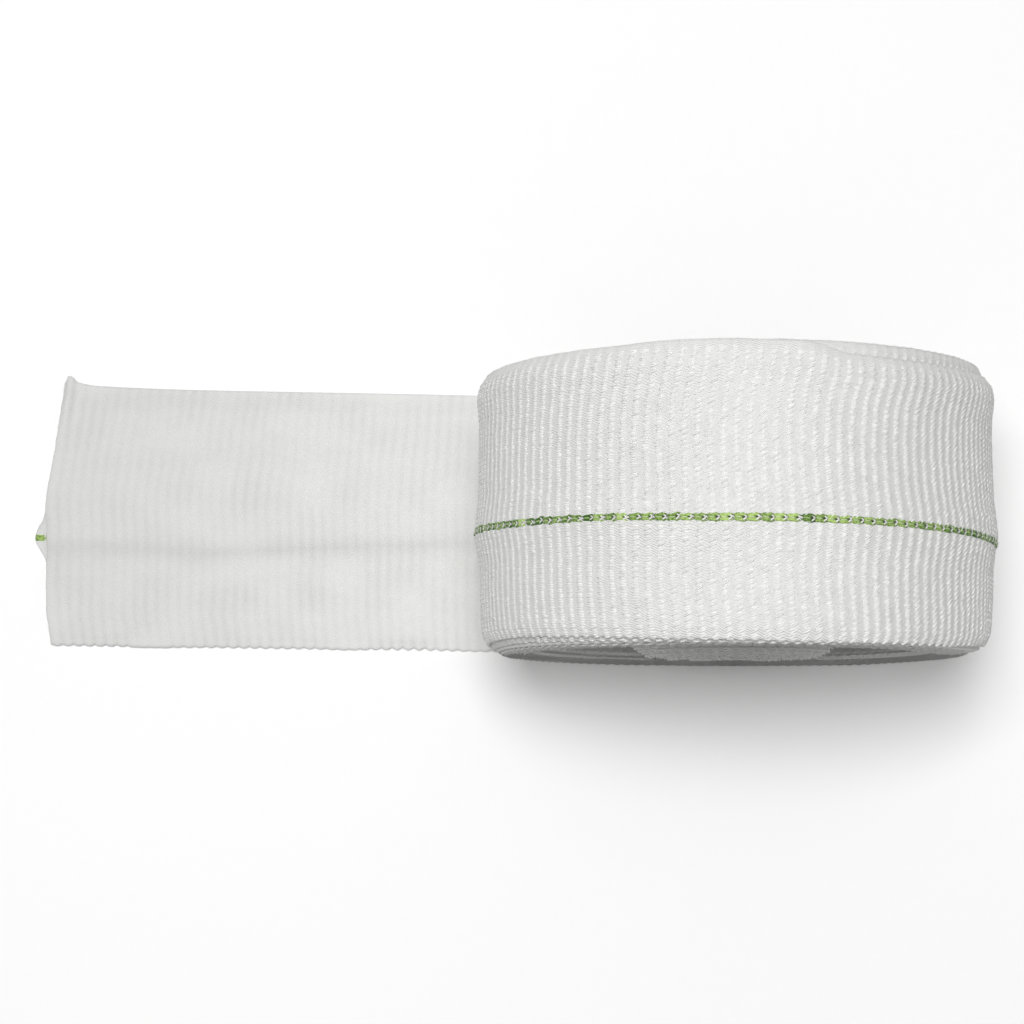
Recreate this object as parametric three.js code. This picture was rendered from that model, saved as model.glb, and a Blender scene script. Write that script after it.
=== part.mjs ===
// A roll of tubular bandage: a ribbed cotton tube, knitted in the round, laid flat and wound up on itself.
// It lies on its winding, and its free end runs out from under it over the floor.
// Millimetres, +Z up. The origin is on the floor, under the roll's axis and midway along it. The axis runs
// along Y, and the free end points to -X.

import * as THREE from "three";

// The cloth, as one flattened tube
const tubeWidth = 50;
const layerThickness = 0.5;
const layerGap = 0.3;
const pieceGap = 0.3;
const tubeThickness = 2 * layerThickness + layerGap;
const halfWidth = tubeWidth / 2;

// The winding. An angle round the axis starts straight down and turns towards +X.
const outerRadius = 45.8;
const turnDrop = tubeThickness + pieceGap;
const axisHeight = 45.2;
const stepX = -7;
const footAngle = Math.atan2(stepX, axisHeight);
const headAngle = 2 * Math.PI + Math.atan2(stepX, axisHeight - turnDrop);

// The ribs, which run across the tube, one for each course
const ribsRound = 132;
const pointsPerRib = 2;
const rollRibDepth = 0.3;
const endRibDepth = 0.2;
const ribPitch = 2.13;
const ribsPerFacePoint = 2;
const pressedFrom = THREE.MathUtils.degToRad(8);
const pressedTo = THREE.MathUtils.degToRad(14);

// The wound surface from edge to edge: the place across the tube, how far the cloth stands off the plain
// winding there, and how much of the rib shows. The hump lies over the thicker marker wale.
const bandRows = [
  { y: -24.3, lift: -1.1, rib: 0.6 },
  { y: -22.8, lift: -0.45, rib: 1 },
  { y: -18.5, lift: -0.2, rib: 1 },
  { y: -11.5, lift: -0.1, rib: 1 },
  { y: -8, lift: 0.35, rib: 1 },
  { y: -4.7, lift: 0.85, rib: 1 },
  { y: -1.4, lift: 0.6, rib: 1 },
  { y: 2.2, lift: 0.2, rib: 1 },
  { y: 9.5, lift: 0.1, rib: 1 },
  { y: 16.5, lift: 0.1, rib: 1 },
  { y: 19.2, lift: 0.3, rib: 1 },
  { y: 21.4, lift: 0.6, rib: 1 },
  { y: 23.2, lift: 0.4, rib: 1 },
  { y: 24.3, lift: -0.4, rib: 0.6 },
];

// From the outermost turn's edge down to the end face, the same at both ends
const edgeRows = [
  { y: 24.7, lift: -1.25, turn: "outermost" },
  { y: 24.8, lift: -1.5, turn: "below" },
  { y: 25, lift: -2.7, turn: "below" },
];

// How far the turns have slipped along the axis, by angle in degrees: the outermost turn and the turns below
// it, each at its -Y edge (low) and its +Y edge (high)
const slipRows = [
  { angle: -9, outermostLow: 2, outermostHigh: 2, belowLow: 0, belowHigh: 0 },
  { angle: 30, outermostLow: 1.8, outermostHigh: 0.8, belowLow: 0, belowHigh: 0 },
  { angle: 60, outermostLow: 1.5, outermostHigh: -0.6, belowLow: 0.3, belowHigh: 0 },
  { angle: 90, outermostLow: 1.6, outermostHigh: -1.3, belowLow: 1, belowHigh: 0 },
  { angle: 112, outermostLow: 0.7, outermostHigh: -2.1, belowLow: 0.4, belowHigh: 0 },
  { angle: 140, outermostLow: 0.1, outermostHigh: -2.3, belowLow: 0.1, belowHigh: 0 },
  { angle: 158, outermostLow: 0.1, outermostHigh: -2.1, belowLow: 0, belowHigh: 0 },
  { angle: 168, outermostLow: 0.2, outermostHigh: -0.3, belowLow: 0, belowHigh: 0 },
  { angle: 190, outermostLow: 0.4, outermostHigh: 0, belowLow: 0.1, belowHigh: -0.1 },
  { angle: 217, outermostLow: 1.2, outermostHigh: -0.6, belowLow: 0.6, belowHigh: -0.7 },
  { angle: 243, outermostLow: 1.7, outermostHigh: -0.9, belowLow: 0.8, belowHigh: -0.9 },
  { angle: 270, outermostLow: 1.2, outermostHigh: -0.6, belowLow: 0.6, belowHigh: -0.6 },
  { angle: 300, outermostLow: 0.6, outermostHigh: -0.3, belowLow: 0.4, belowHigh: -0.3 },
  { angle: 351, outermostLow: 0.2, outermostHigh: 0, belowLow: 0.2, belowHigh: 0 },
];

// How far a rib has wandered round the roll, against the way its angle turns, by its place across the tube
const wanderRows = [
  { y: -25, wander: 0.5 },
  { y: -14, wander: -0.1 },
  { y: -5, wander: 0.25 },
  { y: 8, wander: -0.3 },
  { y: 14, wander: 0 },
  { y: 21, wander: 1.5 },
  { y: 25, wander: 2 },
];

// The end faces: how deep each ring of turns has sunk below its rim at the -Y end, and at the +Y end. The
// turns slid along each other in the winding, so a ring that sank at one end stands out at the other.
const faceRows = [
  { radius: 40.5, low: 0, high: 0 },
  { radius: 36.4, low: 0.1, high: 0.1 },
  { radius: 34.6, low: 2, high: -0.5 },
  { radius: 27, low: 2.4, high: -1.1 },
  { radius: 18.4, low: 2.2, high: -1 },
  { radius: 16.6, low: -0.4, high: 0.2 },
  { radius: 10, low: -0.9, high: 0.7 },
  { radius: 2.6, low: -0.8, high: 0.8 },
  { radius: 1.5, low: 0.4, high: 1.8 },
];
const eyeDepth = { low: 0.5, high: 2 };

// The free end, which leaves the roll off its middle and at a slight skew. The step's wall stands a little
// proud under the hump.
const endMiddle = 2;
const endSkew = 0.0096;
const stepBulge = 0.2;
const endX = stepX - stepBulge - pieceGap;

// The free end's section: top from edge to edge, then bottom
const endSection = [
  { y: -25, z: 0.6, upper: true },
  { y: -24.5, z: 1.1, upper: true },
  { y: -21.5, z: 1.3, upper: true },
  { y: -7, z: 1.2, upper: true },
  { y: -4, z: 1.3, upper: true },
  { y: -1.5, z: 1.2, upper: true },
  { y: 10, z: 1.3, upper: true },
  { y: 19, z: 1.15, upper: true },
  { y: 23, z: 1.3, upper: true },
  { y: 24.6, z: 1.1, upper: true },
  { y: 25, z: 0.6, upper: true },
  { y: 24.5, z: 0, upper: false },
  { y: 2, z: 0, upper: false },
  { y: -4, z: 0, upper: false },
  { y: -10, z: 0, upper: false },
  { y: -24.5, z: 0, upper: false },
];

// The hollow between its layers, which has a ring of points at every fourth station of the outside
const hollowHalfWidth = halfWidth - layerThickness;
const hollowInterval = 4;

// The scissor cut, by place across the tube, and the lower layer's pointed tongue, which reaches past it
const cutRows = [
  { y: -25, x: -127.5 },
  { y: -17, x: -128.5 },
  { y: -4, x: -128.6 },
  { y: 2, x: -129 },
  { y: 11, x: -127.8 },
  { y: 20, x: -126.5 },
  { y: 25, x: -125.8 },
];
const tongue = { y: -4, halfWidth: 7, length: 2.4 };

// The free end's +Y edge: how far it flares by distance from the cut, up to an upturned ear at the corner
const flareRows = [
  { fromCut: 0, flare: 1.1, rise: 0 },
  { fromCut: 1.1, flare: 2.5, rise: 1.1 },
  { fromCut: 2.2, flare: 1.5, rise: 0.3 },
  { fromCut: 6.5, flare: 0.75, rise: 0 },
  { fromCut: 26, flare: 0.2, rise: 0 },
  { fromCut: 63, flare: 0, rise: 0 },
  { fromCut: 120, flare: -0.4, rise: 0 },
];
const flareStart = 14;
const scallop = 0.22;

// A table's column at any place along its key, eased between the rows
function lookUp(rows, key, column, place) {
  const next = rows.findIndex((row) => row[key] >= place);
  if (next === 0) return rows[0][column];
  if (next < 0) return rows[rows.length - 1][column];
  const before = rows[next - 1];
  const after = rows[next];
  const share = THREE.MathUtils.smoothstep(place, before[key], after[key]);
  return THREE.MathUtils.lerp(before[column], after[column], share);
}

// A closed skin, built up from rings of points
class Skin {
  constructor() {
    this.positions = [];
    this.triangles = [];
  }

  addPoint(point) {
    this.positions.push(point.x, point.y, point.z);
    return this.positions.length / 3 - 1;
  }

  addRing(points) {
    return points.map((point) => this.addPoint(point));
  }

  // Joins two rings. The finer one has a whole number of points for each of the other's.
  bridge(first, second) {
    const flipped = first.length < second.length;
    const fine = flipped ? second : first;
    const coarse = flipped ? first : second;
    const ratio = fine.length / coarse.length;
    const turnover = Math.floor(ratio / 2);
    const face = (a, b, c) => this.triangles.push(...(flipped ? [a, c, b] : [a, b, c]));
    coarse.forEach((here, index) => {
      const there = coarse[(index + 1) % coarse.length];
      const start = index * ratio;
      for (let step = 0; step < ratio; step += 1) {
        const corner = step < turnover ? here : there;
        face(fine[start + step], corner, fine[(start + step + 1) % fine.length]);
      }
      face(fine[start + turnover], here, there);
    });
  }

  // Closes a ring at one point, on the far side of it or on the near side
  closeAt(point, ring, ringFirst) {
    const tip = this.addPoint(point);
    ring.forEach((here, index) => {
      const there = ring[(index + 1) % ring.length];
      this.triangles.push(...(ringFirst ? [here, tip, there] : [here, there, tip]));
    });
  }

  geometry() {
    const geometry = new THREE.BufferGeometry();
    geometry.setAttribute("position", new THREE.Float32BufferAttribute(this.positions, 3));
    geometry.setIndex(this.triangles);
    geometry.computeVertexNormals();
    return geometry;
  }
}

// How far round the outermost turn an angle is, from 0 at the step's foot to 1 at its head
function turnShare(angle) {
  return (angle - footAngle) / (headAngle - footAngle);
}

// 0 where the roll's weight presses the ribs flat, 1 where they stand free
function ribFreedom(angle) {
  const fromBottom = Math.min(Math.abs(angle), Math.abs(2 * Math.PI - angle));
  return THREE.MathUtils.smoothstep(fromBottom, pressedFrom, pressedTo);
}

// A point of the roll from its angle, radius and place along the axis. The last quarter of the outermost
// turn lies on the free end, and the rest on the floor.
function rollPoint(angle, radius, y) {
  const floor = angle > 1.5 * Math.PI ? turnDrop : 0;
  const z = Math.max(axisHeight - radius * Math.cos(angle), floor);
  return new THREE.Vector3(radius * Math.sin(angle), y, z);
}

// How far the cloth has slipped at one place, on the turn that is named: "outermost" or "below"
function slip(turn, angle, y) {
  const degrees = THREE.MathUtils.radToDeg(angle);
  const low = lookUp(slipRows, "angle", `${turn}Low`, degrees);
  const high = lookUp(slipRows, "angle", `${turn}High`, degrees);
  return THREE.MathUtils.lerp(low, high, (y + halfWidth) / tubeWidth);
}

// One ring of the wound surface, with a crest and a valley for each rib
function bandRing(row) {
  const count = ribsRound * pointsPerRib;
  return Array.from({ length: count }, (_, index) => {
    const share = index / (count - 1);
    const settled = Math.sin(Math.PI * share);
    const wander = (settled * lookUp(wanderRows, "y", "wander", row.y)) / outerRadius;
    const angle = THREE.MathUtils.lerp(footAngle, headAngle, share) - wander;
    const valley = (index % pointsPerRib) * row.rib * ribFreedom(angle);
    const radius = outerRadius - turnDrop * turnShare(angle) + row.lift - valley * rollRibDepth;
    return rollPoint(angle, radius, row.y + slip("outermost", angle, row.y));
  });
}

// One ring of an edge, at the end of the roll that side gives: -1 or 1
function edgeRing(row, side) {
  return Array.from({ length: ribsRound }, (_, index) => {
    const angle = THREE.MathUtils.lerp(footAngle, headAngle, index / ribsRound);
    const radius = outerRadius - turnDrop * turnShare(angle) + row.lift;
    const y = side * row.y;
    return rollPoint(angle, radius, y + slip(row.turn, angle, y));
  });
}

// One ring of an end face, sunk by depth
function faceRing(radius, depth, side) {
  const count = ribsRound / ribsPerFacePoint;
  return Array.from({ length: count }, (_, index) => {
    const angle = THREE.MathUtils.lerp(footAngle, headAngle, index / count);
    return rollPoint(angle, radius, side * (halfWidth - depth));
  });
}

function endFaceRings(side) {
  const column = side < 0 ? "low" : "high";
  const edges = edgeRows.map((row) => edgeRing(row, side));
  const faces = faceRows.map((row) => faceRing(row.radius, row[column], side));
  return [...edges, ...faces];
}

function woundRollGeometry() {
  const skin = new Skin();
  const lowRings = endFaceRings(-1).reverse();
  const highRings = endFaceRings(1);
  const rings = [...lowRings, ...bandRows.map(bandRing), ...highRings].map((ring) => skin.addRing(ring));
  for (let index = 1; index < rings.length; index += 1) skin.bridge(rings[index - 1], rings[index]);
  const lowEye = new THREE.Vector3(0, eyeDepth.low - halfWidth, axisHeight);
  const highEye = new THREE.Vector3(0, halfWidth - eyeDepth.high, axisHeight);
  skin.closeAt(lowEye, rings[0], false);
  skin.closeAt(highEye, rings[rings.length - 1], true);
  return skin.geometry();
}

// Where the scissor cut crosses the tube, for the upper layer or for the lower one with its tongue
function cutX(y, upper) {
  const cut = lookUp(cutRows, "y", "x", y);
  const onTongue = Math.max(0, 1 - Math.abs(y - tongue.y) / tongue.halfWidth);
  return upper ? cut : cut - tongue.length * onTongue;
}

// A point of the free end's skin: share runs from 0 at the cut to 1 under the roll, y and z are the
// section's, and depth is how far a valley between ribs sinks there
function endPoint(share, y, z, upper, depth) {
  const cut = cutX(y, upper);
  const x = THREE.MathUtils.lerp(cut, endX, share);
  const flaring = THREE.MathUtils.smoothstep(y, flareStart, halfWidth);
  const flare = flaring * lookUp(flareRows, "fromCut", "flare", x - cut);
  const rise = flaring * lookUp(flareRows, "fromCut", "rise", x - cut);
  return new THREE.Vector3(x, endMiddle - endSkew * x + y + flare, z + rise - depth);
}

const endRibs = Math.round((endX - cutRows[0].x) / ribPitch);
const endStations = endRibs * pointsPerRib;

// The outside of the free end at one station: ribs on its upper layer, and scallops along its -Y edge
function outsideRing(station) {
  const valley = station % pointsPerRib;
  return endSection.map((row) => {
    const inset = row.y === -halfWidth ? scallop * (2 * valley - 1) : 0;
    const ribbed = row.upper && Math.abs(row.y) < halfWidth;
    const depth = ribbed ? valley * endRibDepth : 0;
    return endPoint(station / endStations, row.y + inset, row.z, row.upper, depth);
  });
}

// The hollow between the two layers at one station, point for point with the outside
function hollowRing(station) {
  return endSection.map((row) => {
    const y = (row.y / halfWidth) * hollowHalfWidth;
    const edge = Math.abs(row.y) === halfWidth;
    const level = row.upper ? layerThickness + layerGap : layerThickness;
    const z = edge ? layerThickness + layerGap / 2 : level;
    return endPoint(station / endStations, y, z, row.upper, 0);
  });
}

function looseEndGeometry() {
  const skin = new Skin();
  const outside = [];
  const hollow = [];
  for (let station = 0; station <= endStations; station += 1) {
    outside.push(skin.addRing(outsideRing(station)));
  }
  for (let station = 0; station < endStations; station += hollowInterval) {
    hollow.push(skin.addRing(hollowRing(station)));
  }
  hollow.push(skin.addRing(hollowRing(endStations)));
  for (let index = 1; index < outside.length; index += 1) skin.bridge(outside[index - 1], outside[index]);
  for (let index = 1; index < hollow.length; index += 1) skin.bridge(hollow[index], hollow[index - 1]);
  skin.bridge(hollow[0], outside[0]);
  skin.bridge(outside[outside.length - 1], hollow[hollow.length - 1]);
  return skin.geometry();
}

function knittedCotton(colour) {
  return new THREE.MeshStandardMaterial({ color: colour, roughness: 0.92, metalness: 0 });
}

function namedMesh(name, geometry, material) {
  const mesh = new THREE.Mesh(geometry, material);
  mesh.name = name;
  return mesh;
}

const bandageRoll = new THREE.Group();
bandageRoll.add(namedMesh("wound_roll", woundRollGeometry(), knittedCotton(0xeeeeea)));
bandageRoll.add(namedMesh("loose_end", looseEndGeometry(), knittedCotton(0xe6e7e3)));

export default bandageRoll;
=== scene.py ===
"""Looks of a roll of tubular bandage: the wound knit, its free end, the marker line and a pale studio.

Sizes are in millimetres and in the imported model's frame, and each mesh becomes metres when it is finished.
The roll's axis runs along Y. An angle round it starts straight down and turns towards +X. A place on the
cloth is given by its turn and by an arc, which is the way round the flattened tube from the middle of its
outer layer: past an edge's fold it comes back along the inner layer.
"""

import logging
import math
from contextlib import contextmanager
from dataclasses import dataclass
from enum import Enum
from typing import Iterator, NamedTuple, Sequence

import bmesh
import bpy
import numpy as np
from mathutils import Matrix, Vector


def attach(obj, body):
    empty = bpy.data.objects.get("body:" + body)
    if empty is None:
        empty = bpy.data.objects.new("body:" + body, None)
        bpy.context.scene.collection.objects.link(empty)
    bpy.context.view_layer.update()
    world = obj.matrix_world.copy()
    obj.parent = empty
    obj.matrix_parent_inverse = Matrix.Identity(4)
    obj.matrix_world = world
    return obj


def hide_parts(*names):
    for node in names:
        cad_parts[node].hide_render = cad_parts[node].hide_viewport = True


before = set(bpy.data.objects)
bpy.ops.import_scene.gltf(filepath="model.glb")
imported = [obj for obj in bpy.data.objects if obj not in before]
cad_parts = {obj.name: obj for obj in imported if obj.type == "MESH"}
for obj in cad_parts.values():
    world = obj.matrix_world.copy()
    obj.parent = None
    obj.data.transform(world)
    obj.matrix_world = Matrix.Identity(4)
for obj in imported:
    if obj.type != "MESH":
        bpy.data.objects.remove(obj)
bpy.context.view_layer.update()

MM = 0.001
log = logging.getLogger("bandage")

Values = np.ndarray
Colour = tuple[float, float, float, float]
Place = tuple[float, float, float]


class Slot(Enum):
    """The record's material slots."""

    ROLL = "roll_knit"
    END = "end_knit"
    MARKER = "marker_yarn"


class TurnName(Enum):
    """The two turns whose ribs and loops show, by the slip table's words for them."""

    OUTERMOST = "outermost"
    BELOW = "below"


class LiftRow(NamedTuple):
    """How far the outermost turn stands off the plain winding at one place across it."""

    across: float
    lift: float


class StrengthRow(NamedTuple):
    """How the knit shows at one angle, in degrees.

    It gives the ribs' strength, the loops' spread and lean in degrees, how much each loop's lower leg
    stands over its upper one, and how far the loops stand off the cloth.
    """

    angle: float
    rib: float
    spread: float
    lean: float
    favour: float
    stand: float


class SlipRow(NamedTuple):
    """How far the turns have slipped along the axis at one angle, in degrees, at their -Y and +Y edges."""

    angle: float
    outermost_low: float
    outermost_high: float
    below_low: float
    below_high: float


class WanderRow(NamedTuple):
    """How far a rib has wandered round the roll at one place across it."""

    across: float
    wander: float


class FaceRow(NamedTuple):
    """How deep a ring of turns has sunk below its rim at the -Y end and at the +Y end."""

    radius: float
    low: float
    high: float


class MarkerRow(NamedTuple):
    """Where the marker line crosses the roll's width at one angle, in degrees."""

    angle: float
    across: float


class TopRow(NamedTuple):
    """The free end's height at one place across it."""

    across: float
    top: float


class CutRow(NamedTuple):
    """Where the scissor cut lies at one place across the tube."""

    across: float
    cut: float


class FlareRow(NamedTuple):
    """How far the free end's +Y edge flares, and how high it turns up, at one distance from the cut."""

    from_cut: float
    flare: float
    rise: float


class CreaseRow(NamedTuple):
    """Where the soft crease crosses the free end, and how high it stands, at one place along it."""

    along: float
    across: float
    height: float


class DentRow(NamedTuple):
    """A soft dent in the free end's upper layer: its middle, its depth and how far it spreads."""

    along: float
    across: float
    depth: float
    spread: float


class StrandRow(NamedTuple):
    """One strand of a loop: its sides, size, place on the cloth, turn in degrees and material number."""

    sides: int
    length: float
    width: float
    height: float
    along: float = 0.0
    beside: float = 0.0
    up: float = 0.0
    turn: float = 0.0
    number: int = 0


class PointCounts(NamedTuple):
    """Points on one side of a tube's section: the upper layer's middle, its rim, the fold, the rest."""

    middle: int
    rim: int
    fold: int
    lower: int


def read_row(rows: Sequence[NamedTuple], column: str, place: Values) -> Values:
    """Reads a table's column on a smooth curve that never overshoots its rows.

    Args:
        rows: The table, with its key in the first column, rising.
        column: The column to read.
        place: Places along the key.

    Returns:
        The column's value at each place.
    """
    keys = np.array([row[0] for row in rows], float)
    values = np.array([getattr(row, column) for row in rows], float)
    widths = np.diff(keys)
    rises = np.diff(values) / widths
    before, after = rises[:-1], rises[1:]
    same_way = before * after > 0
    slopes = np.zeros(len(keys))
    slopes[1:-1][same_way] = 2 * (before * after)[same_way] / (before + after)[same_way]
    place = np.clip(place, keys[0], keys[-1])
    row = np.clip(np.searchsorted(keys, place, side="right") - 1, 0, len(keys) - 2)
    share = (place - keys[row]) / widths[row]
    towards = share * share * (3 - 2 * share)
    leaving = share * (1 - share) ** 2 * widths[row] * slopes[row]
    arriving = share * share * (share - 1) * widths[row] * slopes[row + 1]
    return values[row] + towards * (values[row + 1] - values[row]) + leaving + arriving


def ease(place: Values, start: float, end: float) -> Values:
    """Rises smoothly from 0 at start to 1 at end."""
    share = np.clip((place - start) / (end - start), 0, 1)
    return share * share * (3 - 2 * share)


def bell(away: Values) -> Values:
    """A smooth hump: 1 in its middle, and near 0 from about twice its width."""
    return np.exp(-away * away)


@dataclass(frozen=True)
class Swell:
    """A soft irregularity over one or two coordinates, the same on every run and for every piece."""

    seed: int
    cells: tuple[float, float]
    amount: float
    knots: int = 211

    def at(self, first: Values, second: Values | float = 0.0) -> Values:
        """Reads its height at each place.

        Args:
            first: The first coordinate of each place.
            second: The second coordinate of each place.

        Returns:
            The heights.
        """
        heights = np.random.default_rng(self.seed).normal(0, self.amount, (self.knots, self.knots))
        steps = [np.asarray(part, float) / cell for part, cell in zip((first, second), self.cells)]
        corner = [np.floor(step).astype(int) for step in steps]
        share = [ease(step - low, 0, 1) for step, low in zip(steps, corner)]
        (left, right), (near, far) = [(low % self.knots, (low + 1) % self.knots) for low in corner]
        front = heights[left, near] * (1 - share[0]) + heights[right, near] * share[0]
        back = heights[left, far] * (1 - share[0]) + heights[right, far] * share[0]
        return front * (1 - share[1]) + back * share[1]


@dataclass(frozen=True)
class Knit:
    """The tube's ribbed knit, laid flat: its wales run along the tube and its ribs across."""

    tube_width: float = 50.0
    rib_pitch: float = 2.13
    wale_pitch: float = 0.87
    leg_spacing: float = 0.43
    wound_sharpness: float = 0.65
    relaxed_sharpness: float = 0.6

    def valley(self, ribs: Values, sharpness: float) -> Values:
        """How deep a place lies between two ribs, counted in ribs: 1 in a valley, 0 on a crest."""
        return (0.5 + 0.5 * np.cos(math.tau * ribs)) ** sharpness


@dataclass(frozen=True)
class Section:
    """The flattened tube's section: two layers joined by a round fold at each edge."""

    flat_half: float = 24.2
    fold_out: float = 0.55
    fold_round: float = 0.575
    rim_width: float = 4.0

    @property
    def fold_length(self) -> float:
        """The way round one fold."""
        return math.pi * self.fold_round

    @property
    def half_round(self) -> float:
        """The way from the middle of the upper layer to the middle of the lower one."""
        return 2 * self.flat_half + self.fold_length

    def arcs(self, points: PointCounts) -> Values:
        """Arcs of a ring of points.

        Args:
            points: How many points each stretch of one side has.

        Returns:
            The arcs, from the seam in the middle of the lower layer all the way round to it.
        """
        rim, fold = self.flat_half - self.rim_width, self.flat_half
        ends = (0.0, rim, fold, fold + self.fold_length, self.half_round)
        stretches = zip(ends, ends[1:], points)
        side = np.concatenate([np.linspace(start, end, count + 1)[1:] for start, end, count in stretches])
        return np.concatenate((-side[::-1], [0.0], side))

    def across(self, arc: Values) -> tuple[Values, Values]:
        """Finds where arcs lie on the flattened tube.

        Args:
            arc: The way round the tube from the middle of its outer layer.

        Returns:
            Where each arc lies across the tube, and how far round the fold it has turned, in radians.
        """
        distance, side = np.abs(arc), np.sign(arc)
        turned = np.clip((distance - self.flat_half) / self.fold_round, 0, math.pi)
        back = np.maximum(distance - self.flat_half - self.fold_length, 0)
        flat = np.minimum(distance, self.flat_half) - back
        return side * (flat + self.fold_out * np.sin(turned)), turned


@dataclass(frozen=True)
class Winding:
    """The roll's form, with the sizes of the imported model.

    The ribs are pressed flat under the roll within pressed_from degrees of straight down, and free past
    pressed_to. Past last_quarter, in degrees too, the outermost turn comes down on its own start.
    """

    outer_radius: float = 45.8
    turn_drop: float = 1.6
    axis_height: float = 45.2
    step_x: float = -7.0
    tube_thickness: float = 1.2
    fill: float = 0.84
    bottom_gap: float = 0.15
    bottom_pitch: float = 0.9
    pitch: float = 0.65
    loose_pitch: float = 0.45
    tightening: float = 2.0
    pressed_from: float = 8.0
    pressed_to: float = 14.0
    last_quarter: float = 270.0
    knit: Knit = Knit()
    slips: tuple[SlipRow, ...] = (
        SlipRow(-9, 2, 2, 0, 0),
        SlipRow(30, 1.8, 0.8, 0, 0),
        SlipRow(60, 1.5, 0, 0.3, 0.6),
        SlipRow(90, 1.6, -0.3, 1, 0.7),
        SlipRow(112, 0.7, -1.9, 0.4, 0.1),
        SlipRow(140, 0.1, -2.3, 0.1, 0),
        SlipRow(158, 0.1, -2.1, 0, 0),
        SlipRow(168, 0.2, -0.3, 0, 0),
        SlipRow(190, 0.4, 0, 0.1, -0.1),
        SlipRow(217, 1.2, -0.6, 0.6, -0.7),
        SlipRow(243, 1.7, -0.9, 0.8, -0.9),
        SlipRow(270, 1.2, -0.6, 0.6, -0.6),
        SlipRow(300, 0.6, -0.3, 0.4, -0.3),
        SlipRow(351, 0.2, 0, 0.2, 0),
    )
    strengths: tuple[StrengthRow, ...] = (
        StrengthRow(-9, 0.4, 8, 20, 0.4, 0.05),
        StrengthRow(60, 0.4, 8, 24, 0.5, 0.05),
        StrengthRow(98, 0.38, 8, 28, 0.6, 0.05),
        StrengthRow(114, 0.5, 7, 31, 0.7, 0.08),
        StrengthRow(128, 0.8, 7, 31, 0.7, 0.15),
        StrengthRow(142, 0.75, 7, 30, 0.7, 0.17),
        StrengthRow(154, 0.5, 8, 26, 0.6, 0.15),
        StrengthRow(166, 0.25, 9, 22, 0.5, 0.13),
        StrengthRow(180, 0.15, 10, 18, 0.4, 0.11),
        StrengthRow(194, 0.15, 10, 12, 0.3, 0.13),
        StrengthRow(208, 0.17, 8, 7, 0.1, 0.13),
        StrengthRow(225, 0.27, 7, 2, 0, 0.1),
        StrengthRow(243, 0.27, 7, 2, 0, 0.06),
        StrengthRow(268, 0.35, 7, 2, 0, 0.05),
        StrengthRow(351, 0.4, 8, 4, 0, 0.05),
    )
    marker: tuple[MarkerRow, ...] = (
        MarkerRow(-9, -4.5),
        MarkerRow(60, -5.9),
        MarkerRow(104, -5.8),
        MarkerRow(129, -5.35),
        MarkerRow(151, -5.0),
        MarkerRow(171, -4.8),
        MarkerRow(191, -4.7),
        MarkerRow(212, -4.3),
        MarkerRow(241, -4.0),
        MarkerRow(269, -3.5),
        MarkerRow(351, -3.0),
    )

    @property
    def foot_angle(self) -> float:
        """Where the free end becomes the outermost turn."""
        return math.atan2(self.step_x, self.axis_height)

    @property
    def head_angle(self) -> float:
        """Where the outermost turn ends, inside its own start and resting on it."""
        return math.tau + math.atan2(self.step_x, self.axis_height - self.turn_drop)

    def angle(self, turns: Values) -> Values:
        """The angle after a number of turns from the foot."""
        whole = self.head_angle - self.foot_angle
        return self.foot_angle + np.minimum(turns, 1) * whole + np.maximum(turns - 1, 0) * math.tau

    def turned(self, angle: Values) -> Values:
        """The same angle within one turn of the foot, in degrees."""
        return np.degrees(np.mod(angle - self.foot_angle, math.tau) + self.foot_angle)

    def radius(self, turns: Values) -> Values:
        """Finds how far the winding has come in: its outermost turns are loose, the rest tight.

        Args:
            turns: Turns from the foot.

        Returns:
            The outer surface's radius there.
        """
        wound = np.maximum(turns - 1, 0)
        slack = self.loose_pitch * self.tightening * (1 - np.exp(-wound / self.tightening))
        return self.outer_radius - self.turn_drop * np.minimum(turns, 1) - self.pitch * wound - slack

    def place(self, angle: Values, radius: Values, y: Values, floor: Values) -> Values:
        """Points from their angle, radius and place along the axis, kept above a floor."""
        height = np.maximum(self.axis_height - radius * np.cos(angle), floor)
        return np.stack(np.broadcast_arrays(radius * np.sin(angle), y, height), axis=-1)

    def slip(self, turn: TurnName, angle: Values, y: Values) -> Values:
        """Finds how far the cloth has slipped along the axis.

        Args:
            turn: Which of the slip table's turns the cloth is on.
            angle: The angle of each place.
            y: Where each place lay along the axis before it slipped.

        Returns:
            How far each place has slipped.
        """
        degrees = self.turned(angle)
        low = read_row(self.slips, f"{turn.value}_low", degrees)
        high = read_row(self.slips, f"{turn.value}_high", degrees)
        return low + (high - low) * (y / self.knit.tube_width + 0.5)

    def thickness(self, turns: Values) -> Values:
        """The flattened tube's thickness after a number of turns."""
        return np.minimum(self.tube_thickness, self.fill * (self.radius(turns) - self.radius(turns + 1)))

    def resting(self, radius: Values) -> Values:
        """How high the turns inside the outermost one rest over the floor, pressed by the roll's weight."""
        pressed = self.bottom_pitch * (self.radius(np.ones(1)) - radius)
        return self.tube_thickness + self.bottom_gap + pressed


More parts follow.
